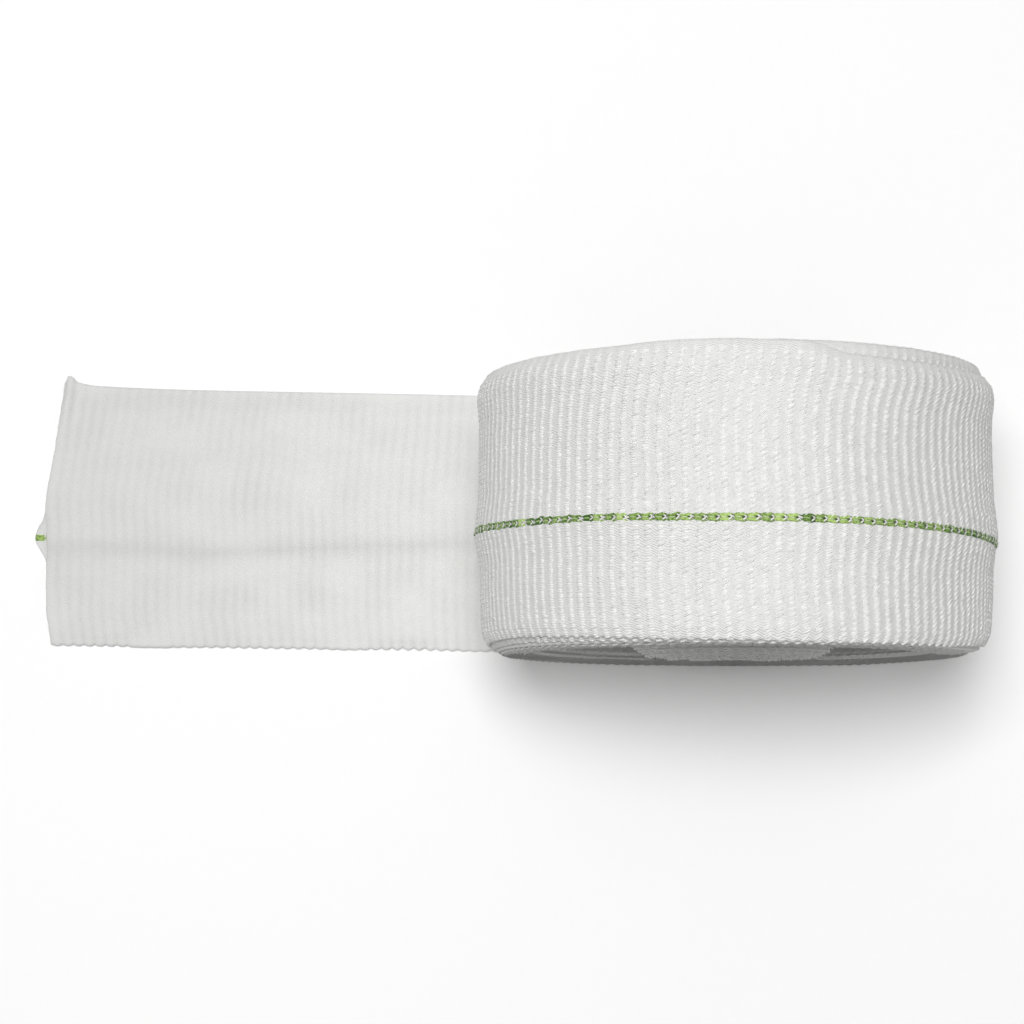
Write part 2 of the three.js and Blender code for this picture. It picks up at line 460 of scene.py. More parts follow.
@dataclass(frozen=True)
class Turn:
    """One ribbed turn of the tube, as a surface that cloth, loops and marker are laid on."""

    winding: Winding
    name: TurnName
    before: int
    ribs: int
    lifts: tuple[LiftRow, ...]
    section: Section = Section()
    rib_depth: float = 0.17
    swing: Swell = Swell(11, (5.0, 9.0), 0.035)
    wave: Swell = Swell(12, (9.0, 12.0), 0.1)
    pucker: Swell = Swell(13, (1.3, 1.9), 0.035)
    wanders: tuple[WanderRow, ...] = (
        WanderRow(-25, 0.5),
        WanderRow(-14, -0.1),
        WanderRow(-5, 0.25),
        WanderRow(8, -0.3),
        WanderRow(14, 0),
        WanderRow(21, 1.5),
        WanderRow(25, 2),
    )

    def angle(self, share: Values) -> Values:
        """The angle at a share of the turn."""
        return self.winding.angle(self.before + share)

    def wale_arc(self, share: Values, wale: Values) -> Values:
        """Finds a wale, which runs beside the marker's and slips with the cloth.

        Args:
            share: The share of the turn.
            wale: The wale's number, counted from the marker's.

        Returns:
            The wale's arc.
        """
        angle = self.angle(share)
        y = read_row(self.winding.marker, "across", self.winding.turned(angle))
        return y - self.winding.slip(self.name, angle, y) + wale * self.winding.knit.wale_pitch

    def relief(self, share: Values, arc: Values) -> tuple[Values, Values]:
        """How the ribs and the cloth's unevenness stand at each place.

        Args:
            share: The share of the turn.
            arc: The way round the tube from the middle of its outer layer.

        Returns:
            How deep the place lies in a valley, from 0 to about 1, and how far it stands off the smooth
            turn.
        """
        ribs = share * self.ribs
        degrees = self.winding.turned(self.angle(share))
        from_bottom = np.minimum(np.abs(degrees), np.abs(360 - degrees))
        free = ease(from_bottom, self.winding.pressed_from, self.winding.pressed_to)
        strength = read_row(self.winding.strengths, "rib", degrees) * free
        outside = np.abs(arc) < self.section.flat_half + self.section.fold_length
        knit = self.winding.knit
        valley = knit.valley(ribs + self.swing.at(ribs, arc), knit.wound_sharpness) * strength * outside
        soft = (self.wave.at(ribs, arc) + self.pucker.at(ribs, arc)) * outside * free
        return valley, soft - valley * self.rib_depth

    def lay(self, share: Values, arc: Values, off: Values) -> Values:
        """Points on the turn.

        Args:
            share: The share of the turn.
            arc: The way round the tube from the middle of its outer layer.
            off: How far each point stands off the smooth turn.

        Returns:
            The points, in the frame.
        """
        winding = self.winding
        across, turned = self.section.across(arc)
        limit = self.section.flat_half
        lift = read_row(self.lifts, "lift", np.clip(across, -limit, limit))
        settled = np.sin(math.pi * np.clip(share, 0, 1))
        wander = settled * read_row(self.wanders, "wander", across)
        angle = self.angle(share) - wander / winding.outer_radius
        sunk = winding.thickness(self.before + share) / 2 * (1 - np.cos(turned)) - off * np.cos(turned)
        y = across + np.sign(arc) * off * np.sin(turned) + winding.slip(self.name, angle, across)
        radius = winding.radius(self.before + share) + lift - sunk
        on_end = winding.turned(angle) > winding.last_quarter
        outermost = self.name is TurnName.OUTERMOST
        floor = winding.turn_drop * on_end + np.maximum(sunk, 0) if outermost else winding.resting(radius)
        return winding.place(angle, radius, y, floor)


OUTERMOST_LIFTS = (
    LiftRow(-24.3, -1.1),
    LiftRow(-22.8, -0.45),
    LiftRow(-18.5, -0.2),
    LiftRow(-11.5, -0.1),
    LiftRow(-8, 0.35),
    LiftRow(-4.7, 0.85),
    LiftRow(-1.4, 0.6),
    LiftRow(2.2, 0.2),
    LiftRow(9.5, 0.1),
    LiftRow(15.5, 0.1),
    LiftRow(18.5, 0.4),
    LiftRow(20.5, 0.6),
    LiftRow(22.2, 0.35),
    LiftRow(23.4, -0.1),
    LiftRow(24.3, -0.7),
)
BELOW_LIFTS = (
    LiftRow(-24.3, -1.0),
    LiftRow(-22.5, -0.45),
    LiftRow(-19, -0.1),
    LiftRow(0, 0),
    LiftRow(21, 0.05),
    LiftRow(23.2, 0.1),
    LiftRow(24.3, -0.3),
)


def put_in_scene(name: str, data: bpy.types.ID) -> bpy.types.Object:
    """Puts a mesh, light or camera in the scene.

    Args:
        name: The object's name.
        data: What it shows.

    Returns:
        The object, at the origin.
    """
    thing = bpy.data.objects.new(name, data)
    bpy.context.scene.collection.objects.link(thing)
    return thing


def new_piece(
    name: str, mesh: bpy.types.Mesh, finishes: Sequence[bpy.types.Material], slot: Slot
) -> bpy.types.Object:
    """Puts a finished mesh in the scene, on the roll's one body.

    Args:
        name: The piece's name.
        mesh: Its mesh, in metres.
        finishes: Its materials, in the order of the mesh's material numbers.
        slot: The record's slot for its finish; not used.

    Returns:
        The piece.
    """
    piece = put_in_scene(name, mesh)
    for finish in finishes:
        mesh.materials.append(finish)
    mesh.shade_smooth()
    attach(piece, "root")
    mesh.calc_loop_triangles()
    log.info("%s: %d triangles", name, len(mesh.loop_triangles))
    return piece


@contextmanager
def shaping(mesh: bpy.types.Mesh) -> Iterator[bmesh.types.BMesh]:
    """Opens a mesh to be shaped, and writes it back when that is done.

    Args:
        mesh: The mesh, which may be empty.

    Returns:
        The mesh, open to bmesh operators.
    """
    bm = bmesh.new()
    try:
        bm.from_mesh(mesh)
        yield bm
        bm.to_mesh(mesh)
    finally:
        bm.free()


def set_places(mesh: bpy.types.Mesh, places: Values) -> None:
    """Moves a mesh's vertices, and turns its faces outwards.

    Args:
        mesh: The closed mesh.
        places: Where each vertex goes, in millimetres.
    """
    mesh.vertices.foreach_set("co", (places * MM).astype(np.float32).ravel())
    with shaping(mesh) as bm:
        if bm.calc_volume(signed=True) < 0:
            bmesh.ops.reverse_faces(bm, faces=bm.faces)
    mesh.update()


def get_places(mesh: bpy.types.Mesh) -> Values:
    """Reads a mesh's vertices.

    Args:
        mesh: The mesh.

    Returns:
        The vertices as rows of three.
    """
    places = np.zeros(len(mesh.vertices) * 3, np.float32)
    mesh.vertices.foreach_get("co", places)
    return places.reshape(-1, 3).astype(float)


def set_attribute(mesh: bpy.types.Mesh, name: str, values: Values) -> None:
    """Keeps one number for each vertex under a name that the finishes read."""
    attribute = mesh.attributes.new(name, "FLOAT", "POINT")
    attribute.data.foreach_set("value", values.astype(np.float32))


@dataclass(frozen=True)
class Ribbon:
    """A closed tube as a grid: columns along it and a ring of points round its section."""

    columns: int
    ring: int

    def mesh(self, name: str, capped: bool) -> bpy.types.Mesh:
        """Rolls a grid into a tube, still flat, with its seam between the last ring point and the first.

        Args:
            name: The mesh's name.
            capped: Whether its two ends are closed.

        Returns:
            The mesh, whose x and y count its columns and ring points.
        """
        mesh = bpy.data.meshes.new(name)
        half, near_seam, same_column = 0.5, 0.25 / self.ring, 0.1 / self.columns
        with shaping(mesh) as bm:
            bmesh.ops.create_grid(bm, x_segments=self.columns, y_segments=self.ring, size=half)
            seam = [vert for vert in bm.verts if abs(vert.co.y) > half - near_seam]
            for vert in seam:
                vert.co.y = half
            bmesh.ops.remove_doubles(bm, verts=seam, dist=same_column)
            bmesh.ops.translate(bm, verts=bm.verts, vec=(half, half, 0))
            bmesh.ops.scale(bm, verts=bm.verts, vec=(self.columns, self.ring, 1))
            if capped:
                bmesh.ops.holes_fill(bm, edges=bm.edges, sides=0)
        return mesh

    def lay_pattern(self, mesh: bpy.types.Mesh, along: Values, around: Values) -> None:
        """Gives a ribbon a UV map in millimetres along it and round it.

        Args:
            mesh: The mesh, which still counts its columns and ring points.
            along: The pattern's place at each column.
            around: The pattern's place at each ring point, the seam's both sides included.
        """
        counts = np.rint(get_places(mesh)[:, :2]).astype(int)
        corners = np.zeros(len(mesh.loops), int)
        mesh.loops.foreach_get("vertex_index", corners)
        faces = np.repeat(np.arange(len(mesh.polygons)), [len(face.vertices) for face in mesh.polygons])
        column, point = counts[corners, 0], counts[corners, 1]
        lowest = np.full(len(mesh.polygons), self.ring)
        np.minimum.at(lowest, faces, point)
        # The seam's vertices are the last ring point, and the first one in faces that reach the second.
        point = np.where((point == self.ring) & (lowest[faces] == 1), 0, point)
        pattern = np.stack((along[column], around[point]), axis=1).astype(np.float32)
        mesh.uv_layers.new(name="Cloth").data.foreach_set("uv", pattern.ravel())


class Recipe:
    """A material's nodes while they are put together."""

    def __init__(self, name: str) -> None:
        """Starts a material with its shader.

        Args:
            name: The material's name.
        """
        self.material = bpy.data.materials.new(name)
        self.material.use_nodes = True
        self.tree = self.material.node_tree
        self.shader = self.tree.nodes["Principled BSDF"]

    def feed(self, socket: bpy.types.NodeSocket, value: object) -> None:
        """Fills a socket.

        Args:
            socket: The input to fill.
            value: A plain value, or another node's output to join to it.
        """
        if isinstance(value, bpy.types.NodeSocket):
            self.tree.links.new(value, socket)
        else:
            socket.default_value = value

    def node(self, kind: str, inputs: dict[str | int, object], **settings: object) -> bpy.types.Node:
        """Adds a node.

        Args:
            kind: The node's type.
            inputs: What its inputs get, by name or number.
            settings: The node's own settings.

        Returns:
            The node.
        """
        node = self.tree.nodes.new(kind)
        for name, value in settings.items():
            setattr(node, name, value)
        for key, value in inputs.items():
            self.feed(node.inputs[key], value)
        return node

    def maths(self, operation: str, *values: object) -> bpy.types.NodeSocket:
        """Works out one number from others."""
        return self.node("ShaderNodeMath", dict(enumerate(values)), operation=operation).outputs[0]

    def scaled(self, value: object, factor: float) -> bpy.types.NodeSocket:
        """Multiplies a number."""
        return self.maths("MULTIPLY", value, factor)

    def mix(self, share: object, first: object, second: object) -> bpy.types.NodeSocket:
        """Mixes two colours.

        Args:
            share: The second colour's share.
            first: The first colour.
            second: The second colour.

        Returns:
            The mixed colour.
        """
        node = self.node("ShaderNodeMix", {}, data_type="RGBA")
        sockets = {socket.identifier: socket for socket in (*node.inputs, *node.outputs)}
        for name, value in (("Factor_Float", share), ("A_Color", first), ("B_Color", second)):
            self.feed(sockets[name], value)
        return sockets["Result_Color"]

    def span(
        self, value: object, before: tuple[float, float], after: tuple[float, float]
    ) -> bpy.types.NodeSocket:
        """Carries a number from one range to another.

        Args:
            value: The number.
            before: The range's ends before.
            after: Its ends afterwards.

        Returns:
            The number in its new range.
        """
        names = ("From Min", "From Max", "To Min", "To Max")
        inputs = {"Value": value, **dict(zip(names, (*before, *after)))}
        return self.node("ShaderNodeMapRange", inputs).outputs[0]

    def noise(
        self, place: bpy.types.NodeSocket, scale: float = 1.0, detail: float = 2.0
    ) -> bpy.types.NodeSocket:
        """A soft noise between 0 and 1."""
        inputs = {"Vector": place, "Scale": scale, "Detail": detail}
        return self.node("ShaderNodeTexNoise", inputs).outputs[0]

    def cloth_place(self, stretch: tuple[float, float] = (1.0, 1.0)) -> bpy.types.NodeSocket:
        """The place on the cloth's own pattern, stretched along it and round it."""
        pattern = self.node("ShaderNodeUVMap", {}, uv_map="Cloth").outputs[0]
        return self.node("ShaderNodeMapping", {"Vector": pattern, "Scale": (*stretch, 1)}).outputs[0]

    def attribute(self, name: str) -> bpy.types.NodeSocket:
        """A number kept with each vertex."""
        return self.node("ShaderNodeAttribute", {}, attribute_name=name).outputs["Fac"]

    def bump(self, height: object, depth: float) -> None:
        """Raises the surface by a height times a depth in millimetres."""
        normal = self.node("ShaderNodeBump", {"Height": height, "Distance": depth * MM, "Strength": 1.0})
        self.feed(self.shader.inputs["Normal"], normal.outputs[0])

    def surface(self, colour: object, roughness: float, gloss: float, sheen: float = 0.0) -> None:
        """Sets the shader's colour and how it shines.

        Args:
            colour: The base colour, or the output that gives it.
            roughness: The surface's roughness.
            gloss: Its specular level.
            sheen: The weight of its fuzz's sheen.
        """
        settings = {
            "Base Color": colour,
            "Roughness": roughness,
            "Specular IOR Level": gloss,
            "Sheen Weight": sheen,
            "Sheen Roughness": 0.5,
        }
        for name, value in settings.items():
            self.feed(self.shader.inputs[name], value)


@dataclass(frozen=True)
class CottonFinish:
    """White knitted cotton: strands along the wales, soft fuzz, and painted shade that greys it towards its
    valley colour.
    """

    name: str
    colour: Colour = (0.75, 0.75, 0.735, 1)
    # The colour that painted shade greys the cloth towards: in its valleys, beside creases and on the roll's
    # end faces.
    valley: Colour = (0.62, 0.62, 0.605, 1)
    knit: Knit = Knit()
    strand_depth: float = 0.09
    strand_share: float = 0.5
    slant: float = 0.45
    waver: float = 0.9
    waver_stretch: tuple[float, float] = (0.5, 0.3)
    fuzz_share: float = 1.4
    fuzz_stretch: tuple[float, float] = (2.2, 5.0)
    fuzz_detail: float = 4.0
    mottle: float = 0.035
    mottle_stretch: tuple[float, float] = (0.12, 0.2)
    mottle_detail: float = 3.0
    mottle_span: tuple[float, float] = (0.3, 0.7)
    roughness: float = 0.9
    gloss: float = 0.15
    sheen: float = 0.25

    def make(self) -> bpy.types.Material:
        """Makes the material.

        Returns:
            The material.
        """
        recipe = Recipe(self.name)
        along, around = recipe.node("ShaderNodeSeparateXYZ", {0: recipe.cloth_place()}).outputs[:2]
        wavering = recipe.scaled(recipe.noise(recipe.cloth_place(self.waver_stretch)), self.waver)
        past_flank = recipe.maths("SUBTRACT", along, self.knit.rib_pitch / 4)
        from_crest = recipe.maths("PINGPONG", past_flank, self.knit.rib_pitch / 2)
        slanted = recipe.maths("ADD", around, recipe.scaled(from_crest, self.slant))
        turns = recipe.scaled(recipe.maths("ADD", slanted, wavering), math.tau / self.knit.leg_spacing)
        strands = recipe.scaled(recipe.maths("SINE", turns), self.strand_share)
        lint = recipe.noise(recipe.cloth_place(self.fuzz_stretch), detail=self.fuzz_detail)
        fuzz = recipe.scaled(lint, self.fuzz_share)
        recipe.bump(recipe.maths("ADD", strands, fuzz), self.strand_depth)
        cloud = recipe.noise(recipe.cloth_place(self.mottle_stretch), detail=self.mottle_detail)
        bright = recipe.span(cloud, self.mottle_span, (1 - self.mottle, 1.0))
        # Painted shade: the painted_shade attribute mixes the valley colour into the cloth.
        base = recipe.mix(recipe.attribute("painted_shade"), self.colour, self.valley)
        tinted = recipe.node("ShaderNodeVectorMath", {0: base, "Scale": bright}, operation="SCALE")
        recipe.surface(tinted.outputs[0], self.roughness, self.gloss, self.sheen)
        return recipe.material


@dataclass(frozen=True)
class YarnFinish:
    """Twisted yarn in soft patches of a light and a dark tone, shifted by each strand's own tone."""

    name: str
    light: Colour
    dark: Colour
    twist_pitch: float = 0.3
    twist_depth: float = 0.05
    twist_share: float = 0.3
    fibre_share: float = 1.2
    fibre_scale: float = 3.0
    fibre_detail: float = 4.0
    own_tone: float = 0.6
    patch_scale: float = 1.6
    patch_detail: float = 3.0
    patch_span: tuple[float, float] = (0.35, 0.65)
    roughness: float = 0.85
    gloss: float = 0.15
    sheen: float = 0.2

    def make(self) -> bpy.types.Material:
        """Makes the material.

        Returns:
            The material.
        """
        recipe = Recipe(self.name)
        spot = recipe.node("ShaderNodeTexCoord", {}).outputs["Object"]
        scale = {"Vector": spot, "Scale": (1 / MM, 1 / MM, 1 / MM)}
        per_mm = recipe.node("ShaderNodeMapping", scale).outputs[0]
        parts = recipe.node("ShaderNodeSeparateXYZ", {0: per_mm})
        slanted = recipe.maths("ADD", parts.outputs[0], parts.outputs[1])
        twist = recipe.maths("SINE", recipe.scaled(slanted, math.tau / self.twist_pitch))
        fibre = recipe.scaled(recipe.noise(per_mm, self.fibre_scale, self.fibre_detail), self.fibre_share)
        recipe.bump(recipe.maths("ADD", recipe.scaled(twist, self.twist_share), fibre), self.twist_depth)
        patches = recipe.noise(per_mm, self.patch_scale, self.patch_detail)
        patch = recipe.span(patches, self.patch_span, (0.0, 1.0))
        # The tone attribute gives each strand's own tone; on the marker chain it also carries painted shade
        # down the roll's flanks.
        shade = recipe.maths("ADD", recipe.scaled(patch, 1 - self.own_tone), recipe.attribute("tone"))
        colour = recipe.mix(shade, self.dark, self.light)
        recipe.surface(colour, self.roughness, self.gloss, self.sheen)
        return recipe.material


@dataclass(frozen=True)
class FloorFinish:
    """Plain white paper, with a grain too fine to draw the eye."""

    name: str = "White_paper"
    colour: Colour = (0.93, 0.93, 0.93, 1)
    grain_scale: float = 900.0
    grain_depth: float = 0.02
    roughness: float = 0.95
    gloss: float = 0.1

    def make(self) -> bpy.types.Material:
        """Makes the material.

        Returns:
            The material.
        """
        recipe = Recipe(self.name)
        spot = recipe.node("ShaderNodeTexCoord", {}).outputs["Object"]
        recipe.bump(recipe.noise(spot, self.grain_scale), self.grain_depth)
        recipe.surface(self.colour, self.roughness, self.gloss)
        return recipe.material


@dataclass
class RibbedTurn:
    """The cloth of one turn, with its ribs and its folded edges."""

    turn: Turn
    finish: bpy.types.Material
    name: str
    points: PointCounts
    columns_per_rib: int = 6

    def build(self) -> bpy.types.Object:
        """Lays the cloth on its turn.

        Returns:
            The piece.
        """
        arcs = self.turn.section.arcs(self.points)
        ribbon = Ribbon(self.turn.ribs * self.columns_per_rib, len(arcs) - 1)
        mesh = ribbon.mesh(self.name, capped=True)
        step = self.turn.winding.knit.rib_pitch / self.columns_per_rib
        ribbon.lay_pattern(mesh, np.arange(ribbon.columns + 1) * step, arcs)
        counts = get_places(mesh)
        share, arc = counts[:, 0] / ribbon.columns, np.interp(counts[:, 1], np.arange(len(arcs)), arcs)
        valley, relief = self.turn.relief(share, arc)
        # Painted shade: the cloth greys in its rib valleys.
        set_attribute(mesh, "painted_shade", valley)
        set_places(mesh, self.turn.lay(share, arc, relief))
        return new_piece(self.name, mesh, [self.finish], Slot.ROLL)


class LoopSet(NamedTuple):
    """Loops joined in one mesh, with each vertex's own place in its loop and the numbers of its loop."""

    mesh: bpy.types.Mesh
    local: Values
    strand: Values
    wale: Values
    rib: Values


def faces_round(verts: Sequence[bmesh.types.BMVert]) -> list[bmesh.types.BMFace]:
    """The faces that meet at some vertices, each once."""
    return list(dict.fromkeys(face for vert in verts for face in vert.link_faces))


@dataclass(frozen=True)
class Loop:
    """A loop of a few strands of yarn, which is repeated over the cloth."""

    strands: tuple[StrandRow, ...]
    tip: float = 0.22
    end_facing: float = 0.9

    def add(self, bm: bmesh.types.BMesh, row: StrandRow) -> None:
        """Adds one strand: a prism with an edge on top and a point at each end.

        Args:
            bm: The mesh to add to.
            row: The strand.
        """
        made = bmesh.ops.create_cone(
            bm, cap_ends=True, segments=row.sides, radius1=0.5, radius2=0.5, depth=1 - 2 * self.tip
        )["verts"]
        ends = [face for face in faces_round(made) if abs(face.normal.z) > self.end_facing]
        made += bmesh.ops.poke(bm, faces=ends, offset=self.tip)["verts"]
        bmesh.ops.rotate(bm, verts=made, matrix=Matrix.Rotation(math.pi / 2, 3, "Y"))
        top = made[0].co
        bmesh.ops.rotate(bm, verts=made, matrix=Matrix.Rotation(math.atan2(top.y, top.z), 3, "X"))
        bmesh.ops.scale(bm, verts=made, vec=(row.length, row.width, row.height))
        bmesh.ops.rotate(bm, verts=made, matrix=Matrix.Rotation(math.radians(row.turn), 3, "Z"))
        bmesh.ops.translate(bm, verts=made, vec=(row.along, row.beside, row.up))
        for face in faces_round(made):
            face.material_index = row.number

    def spread(self, name: str, wales: int, ribs: int) -> LoopSet:
        """Repeats the loop over wales and then over ribs, all still in one place.

        Args:
            name: The joined mesh's name.
            wales: How many wales.
            ribs: How many ribs.

        Returns:
            The loops.
        """
        mesh = bpy.data.meshes.new(name)
        with shaping(mesh) as bm:
            for row in self.strands:
                self.add(bm, row)
        carrier = put_in_scene(name, mesh)
        for count in (wales, ribs):
            repeat = carrier.modifiers.new("repeat", "ARRAY")
            repeat.count = count
            repeat.use_relative_offset = False
        graph = bpy.context.evaluated_depsgraph_get()
        joined = bpy.data.meshes.new_from_object(carrier.evaluated_get(graph))
        bpy.data.objects.remove(carrier)
        local = get_places(joined)
        sizes = [2 * row.sides + 2 for row in self.strands]
        copy, vertex = np.divmod(np.arange(len(local)), sum(sizes))
        strand = np.repeat(np.arange(len(self.strands)), sizes)[vertex]
        return LoopSet(joined, local, strand, copy % wales, copy // wales)


def delete_vertices(mesh: bpy.types.Mesh, unwanted: Values) -> None:
    """Takes out vertices and their faces.

    Args:
        mesh: The mesh.
        unwanted: Whether each vertex goes.
    """
    with shaping(mesh) as bm:
        bm.verts.ensure_lookup_table()
        geometry = [bm.verts[index] for index in np.flatnonzero(unwanted)]
        bmesh.ops.delete(bm, geom=geometry, context="VERTS")


@dataclass
class Stitches:
    """The knit's loops on one turn: two legs on every wale of every rib.

    A jitter is how far the legs differ: in millimetres, but for the shares of their length and tone and
    the degrees of their spread.
    """

    turn: Turn
    finish: bpy.types.Material
    name: str
    wales: tuple[int, ...]
    leg_length: float = 1.6
    leg_width: float = 0.5
    leg_height: float = 0.44
    arch: float = 0.3
    favour_depth: float = 0.16
    edge_start: float = 22.3
    edge_depth: float = 0.3
    length_jitter: float = 0.08
    along_jitter: float = 0.09
    beside_jitter: float = 0.03
    spread_jitter: float = 3.0
    stand_jitter: float = 0.02
    tone: float = 0.3
    tone_jitter: float = 0.2
    seed: int = 23

    def build(self) -> bpy.types.Object:
        """Lays the loops, but for the marker's wale and what would pass the folds.

        Returns:
            The piece.
        """
        knit = self.turn.winding.knit
        apart = knit.leg_spacing / 2
        leg = StrandRow(3, self.leg_length, self.leg_width, self.leg_height)
        loop = Loop((leg._replace(beside=-apart), leg._replace(beside=apart)))
        loops = loop.spread(self.name, len(self.wales), self.turn.ribs)
        mesh, local, strand = loops.mesh, loops.local, loops.strand
        upper = strand == 1
        side = np.where(upper, 1.0, -1.0)
        key = (loops.rib * len(self.wales) + loops.wale) * 2 + strand
        jitter = np.random.default_rng(self.seed).normal(0, 1, (key.max() + 1, 5))[key].T
        share = (loops.rib + 0.5) / self.turn.ribs
        degrees = self.turn.winding.turned(self.turn.angle(share))
        strengths, columns = self.turn.winding.strengths, ("spread", "lean", "favour", "stand")
        spread, lean, favour, stand = [read_row(strengths, column, degrees) for column in columns]
        slope = np.tan(np.radians((spread + self.spread_jitter * jitter[0]) * side - lean))
        along = local[:, 0] * (1 + self.length_jitter * jitter[1]) + self.along_jitter * jitter[2]
        exact = np.clip(share + along / knit.rib_pitch / self.turn.ribs, 0, 1)
        wale = np.array(self.wales)[loops.wale]
        beside = local[:, 1] + self.beside_jitter * jitter[3]
        arc = self.turn.wale_arc(exact, wale) + beside + along * slope
        relief = self.turn.relief(exact, arc)[1]
        sunk = self.arch * (2 * local[:, 0] / self.leg_length) ** 2 + favour * self.favour_depth * upper
        sunk = sunk + self.edge_depth * ease(arc, self.edge_start, self.turn.section.flat_half)
        height = local[:, 2] + stand + self.stand_jitter * jitter[0]
        set_attribute(mesh, "tone", self.tone + self.tone_jitter * jitter[4])
        set_places(mesh, self.turn.lay(exact, arc, height - sunk + relief))
        limit = self.turn.section.flat_half + self.turn.section.fold_length
        middle = self.turn.wale_arc(share, wale)
        marked = (wale == 0) & (self.turn.name is TurnName.OUTERMOST)
        delete_vertices(mesh, marked | (np.abs(middle) > limit - knit.wale_pitch / 2))
        return new_piece(self.name, mesh, [self.finish], Slot.ROLL)


@dataclass
class InnerTurns:
    """The turns inside the two ribbed ones, as one long spiral of the flattened tube.

    From column to column its folds stand out and in by scallop, and its walls thicken and thin with
    swelling. Outside the radius rim_to the turns also slip as the second turn does, and their folds
    droop towards the axis, by droop_low at the -Y end and droop_high at the +Y end. Inside the radius
    rim_from they do neither.
    """

    winding: Winding
    finish: bpy.types.Material
    start: float = 2.0
    eye_radius: float = 1.4
    column_spacing: float = 1.065
    widest_step: float = 0.24
    shoulder: float = 0.4
    scallop: float = 0.1
    droop_low: float = 0.8
    droop_high: float = 0.3
    rim_from: float = 40.5
    rim_to: float = 43.0
    most_turns: float = 80.0
    samples: int = 60000
    swelling: float = 0.6
    wall_shade: float = 0.9
    crest_shade: float = 0.6
    drifts: tuple[Swell, ...] = (Swell(5, (45.0, 1.0), 0.1), Swell(6, (9.0, 1.0), 0.04))
    width_drift: Swell = Swell(7, (30.0, 1.0), 0.06)
    rows: tuple[FaceRow, ...] = (
        FaceRow(0.5, 0.6, 2.0),
        FaceRow(1.5, 0.4, 1.8),
        FaceRow(2.6, -0.8, 0.8),
        FaceRow(10, -0.9, 0.7),
        FaceRow(14.6, -0.6, 0.4),
        FaceRow(16.8, 0.3, -0.3),
        FaceRow(18.8, 2.2, -1),
        FaceRow(27, 2.4, -1.1),
        FaceRow(34.6, 2, -0.5),
        FaceRow(36.4, 0.1, 0.3),
        FaceRow(40.5, 0, 0.6),
        FaceRow(46, 0, 0.8),
    )

    def columns(self) -> Values:
        """Spaces the columns, closer together in angle where the winding is wide.

        Returns:
            Turns from the foot at each column.
        """
        turns = np.linspace(self.start, self.start + self.most_turns, self.samples)
        radius = self.winding.radius(turns)
        turns, radius = turns[radius > self.eye_radius], radius[radius > self.eye_radius]
        step = np.minimum(self.column_spacing / radius, self.widest_step)
        passed = np.concatenate(([0], np.cumsum(np.diff(turns) * math.tau / step[1:])))
        return np.interp(np.arange(int(passed[-1])), passed, turns)

    def build(self) -> bpy.types.Object:
        """Winds the tube from under the second turn to the eye.

        Returns:
            The piece.
        """
        turns = self.columns()
        half = self.winding.knit.tube_width / 2
        points = [
            (-half, 0.0),
            (-half + self.shoulder, 0.5),
            (half - self.shoulder, 0.5),
            (half, 0.0),
            (half - self.shoulder, -0.5),
            (-half + self.shoulder, -0.5),
        ]
        ribbon = Ribbon(len(turns) - 1, len(points))
        mesh = ribbon.mesh("inner_turns", capped=True)
        around = np.array([0, 0.5, half, 2 * half, 2 * half + 0.5, 3 * half, 4 * half])
        ribbon.lay_pattern(mesh, np.arange(len(turns)) * self.column_spacing, around)
        counts = np.rint(get_places(mesh)[:, :2]).astype(int)
        column, point = counts[:, 0], counts[:, 1] % len(points)
        across, height = np.array(points)[point].T
        at = turns[column]
        radius, angle = self.winding.radius(at), self.winding.angle(at)
        length = column * self.column_spacing
        drift = sum(swell.at(length) for swell in self.drifts)
        low, high = read_row(self.rows, "low", radius), read_row(self.rows, "high", radius)
        crest = np.where(column % 2 == 0, 1.0, -1.0) * self.scallop
        share = across / self.winding.knit.tube_width + 0.5
        rim = ease(radius, self.rim_from, self.rim_to)
        slipped = self.winding.slip(TurnName.BELOW, angle, across) * rim
        shift = low + (-high - low) * share + drift + slipped
        edge = np.abs(across) > half - self.shoulder / 2
        y = across + shift + (self.width_drift.at(length) + crest * edge) * np.sign(across)
        droop = np.where(across < 0, self.droop_low, self.droop_high) * rim * edge
        swollen = height * (1 + self.swelling * crest * (1 - edge))
        level = radius - self.winding.thickness(at) * (0.5 - swollen) - droop
        # Painted shade: the end faces' fold edges grey fully where a column is sunk and by crest_shade where
        # it stands out, and the hidden walls grey by wall_shade.
        edge_shade = np.where(crest < 0, 1.0, self.crest_shade)
        set_attribute(mesh, "painted_shade", np.where(edge, edge_shade, self.wall_shade))
        set_places(mesh, self.winding.place(angle, level, y, self.winding.resting(level)))
        return new_piece("inner_turns", mesh, [self.finish], Slot.ROLL)


class MarkerYarns(NamedTuple):
    """The marker line's finishes, in the order of the strands' material numbers."""

    green: bpy.types.Material
    light: bpy.types.Material
    cotton: bpy.types.Material
    shade: bpy.types.Material


@dataclass(frozen=True)
class MarkerLink(Loop):
    """A link of the marker line: two green legs, a paler middle, a dark strand of painted shade in the gap
    between them, and two white ticks.
    """

    tip: float = 0.28
    strands: tuple[StrandRow, ...] = (
        StrandRow(5, 2.6, 0.66, 0.44, 0.02, 0.36, 0.0, -5, 0),
        StrandRow(5, 2.6, 0.66, 0.44, 0.02, -0.36, 0.0, 5, 0),
        StrandRow(3, 1.5, 0.5, 0.36, 0.24, 0.0, 0.1, 4, 1),
        # Painted shade: a dark green strand stands in for the shade deep between the legs.
        StrandRow(3, 0.6, 0.26, 0.3, -0.56, 0.02, 0.13, 0, 3),
        StrandRow(5, 0.95, 0.27, 0.14, -0.72, -0.25, 0.27, -38, 2),
        StrandRow(5, 0.68, 0.24, 0.14, -0.84, 0.17, 0.27, 36, 2),
    )


